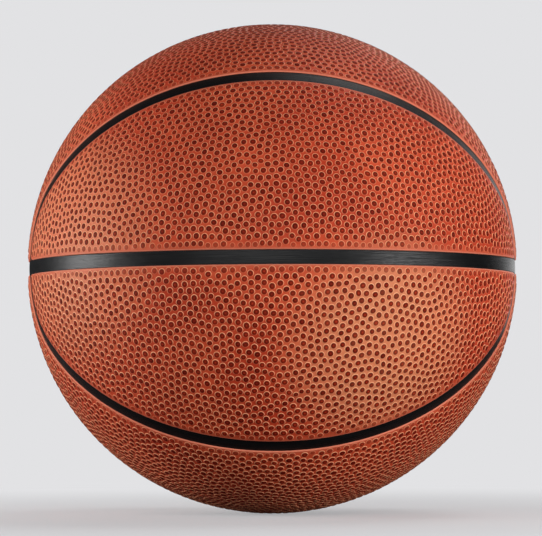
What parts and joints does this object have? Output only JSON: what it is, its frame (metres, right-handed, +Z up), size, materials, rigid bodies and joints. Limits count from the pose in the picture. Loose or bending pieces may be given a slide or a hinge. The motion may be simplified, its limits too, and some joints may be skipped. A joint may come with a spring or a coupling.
{
  "type": "basketball",
  "caption": "Inflated ball with pebbled orange-brown cover panels on foam, black rubber channels between them, and a self-sealing needle valve at the back.",
  "frame": {"origin": "the ball's centre", "axes": "+Z up; the level channel lies in the plane z = 0 and the upright channel in the plane y = 0; the front oval channel goes round -Y, which faces the viewer of the picture, and the back one round +Y; +X is to that viewer's right"},
  "size_m": [0.2388, 0.2388, 0.2388],
  "materials": {
    "cover": "pebbled composite leather, orange brown with darker pebble tops",
    "backing_foam": "closed-cell foam",
    "channel_rubber": "satin black, finely drawn lengthwise",
    "carcass_rubber": "matt moulded rubber",
    "thread": "wound nylon thread",
    "bladder_rubber": "smooth butyl rubber",
    "valve_rubber": "smooth moulded rubber"
  },
  "bodies": {
    "root": {"bladder": "bladder_rubber", "thread_winding": "thread", "carcass": "carcass_rubber", "channel_strip_level": "channel_rubber", "channel_strip_upright": "channel_rubber", "channel_strip_front_oval": "channel_rubber", "channel_strip_back_oval": "channel_rubber", "foam_front_upper_oval": "backing_foam", "foam_front_upper_strip": "backing_foam", "foam_front_lower_oval": "backing_foam", "foam_front_lower_strip": "backing_foam", "foam_back_upper_oval": "backing_foam", "foam_back_upper_strip": "backing_foam", "foam_back_lower_oval": "backing_foam", "foam_back_lower_strip": "backing_foam", "cover_front_upper_oval": "cover", "cover_front_upper_strip": "cover", "cover_front_lower_oval": "cover", "cover_front_lower_strip": "cover", "cover_back_upper_oval": "cover", "cover_back_upper_strip": "cover", "cover_back_lower_oval": "cover", "cover_back_lower_strip": "cover", "valve_housing": "valve_rubber", "valve_plug": "valve_rubber"}
  },
  "joints": []
}
